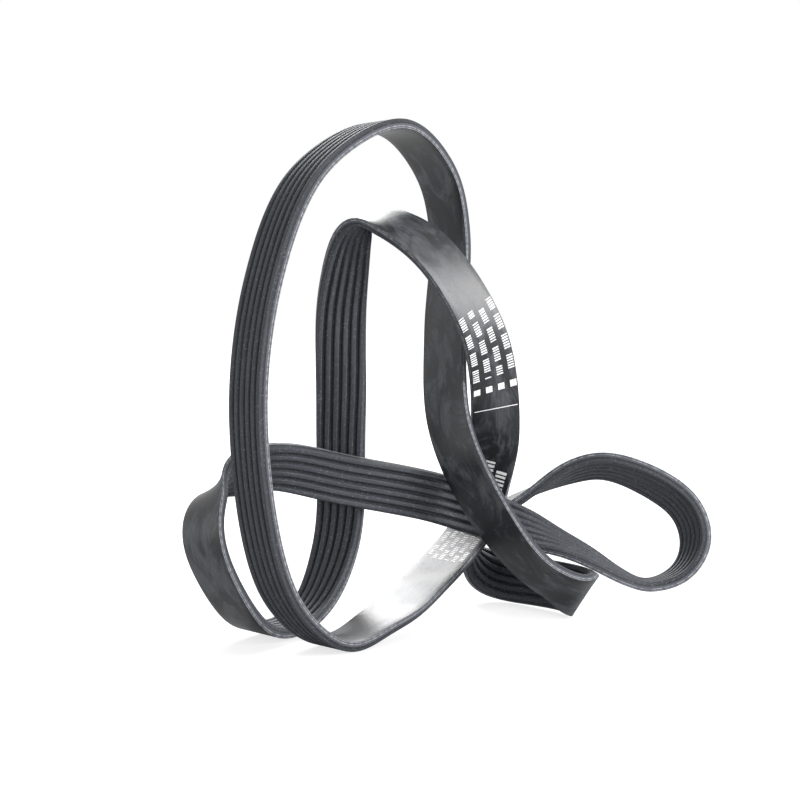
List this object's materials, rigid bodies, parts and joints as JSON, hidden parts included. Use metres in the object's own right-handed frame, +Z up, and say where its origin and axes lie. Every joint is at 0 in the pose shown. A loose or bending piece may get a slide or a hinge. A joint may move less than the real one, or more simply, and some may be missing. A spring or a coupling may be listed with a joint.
{
  "type": "alternator belt",
  "caption": "Endless black rubber drive belt with lengthwise V-shaped ribs, lying loose in crossed loops; it drives an engine's alternator and other accessories.",
  "frame": {"origin": "on the floor that the loose belt lies on, under the middle of its box", "axes": "+X to the right across the picture, from the bow at the left to the bow at the right, the box's longest way; +Y away from the viewer; +Z up"},
  "size_m": [0.2246, 0.1356, 0.2136],
  "materials": {
    "belt": "matt ribs, with a smoother and slightly glossy back"
  },
  "bodies": {
    "root": {"belt": "belt"}
  },
  "joints": []
}
